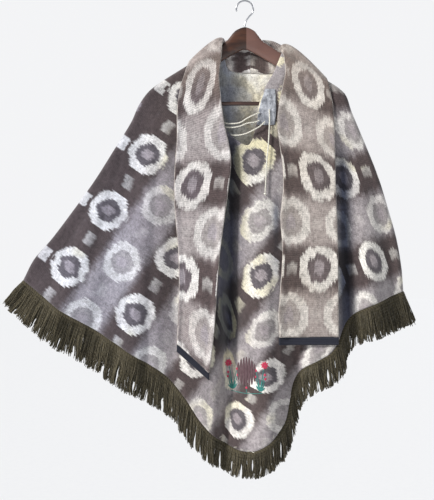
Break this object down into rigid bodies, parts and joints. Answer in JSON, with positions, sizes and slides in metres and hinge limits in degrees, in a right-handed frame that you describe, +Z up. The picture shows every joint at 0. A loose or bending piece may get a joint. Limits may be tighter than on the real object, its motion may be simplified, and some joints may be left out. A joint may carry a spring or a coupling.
{
  "type": "poncho on a hanger",
  "caption": "Heavy blanket poncho with a long shawl collar, laced neck slit and fringed hem, hanging on a wooden hanger.",
  "frame": {"origin": "inside top of the hanger's hook, where a rail carries it", "axes": "+X across the garment to the right as seen from the front, +Y to its back, +Z up"},
  "size_m": [0.961, 0.156, 1.1089],
  "materials": {
    "blanket": "brushed woollen blanket cloth, soft-edged rings and bands in brown-grey, silver grey and cream",
    "brushed_wool": "fluffy brushed face of the same cloth, blue-grey to cream",
    "band": "plain dark navy woven edge",
    "fringe": "twisted olive wool yarn",
    "lace": "white cotton cord",
    "hanger_wood": "dark red-brown varnished wood",
    "hanger_bar": "darker varnished dowel",
    "hook_steel": "bright wire"
  },
  "bodies": {
    "root": {"body_front": "blanket", "body_back": "blanket", "collar_left": "blanket", "collar_right": "blanket", "band_left": "band", "band_right": "band", "placket": "brushed_wool", "lace_upper": "lace", "lace_middle": "lace", "lace_lower": "lace", "lace_end": "lace", "lace_knot": "lace", "fringe_front_left": "fringe", "fringe_front_right": "fringe", "fringe_back_left": "fringe", "fringe_back_right": "fringe", "hanger_wood": "hanger_wood", "hanger_bar": "hanger_bar", "hanger_hook": "hook_steel"}
  },
  "joints": []
}
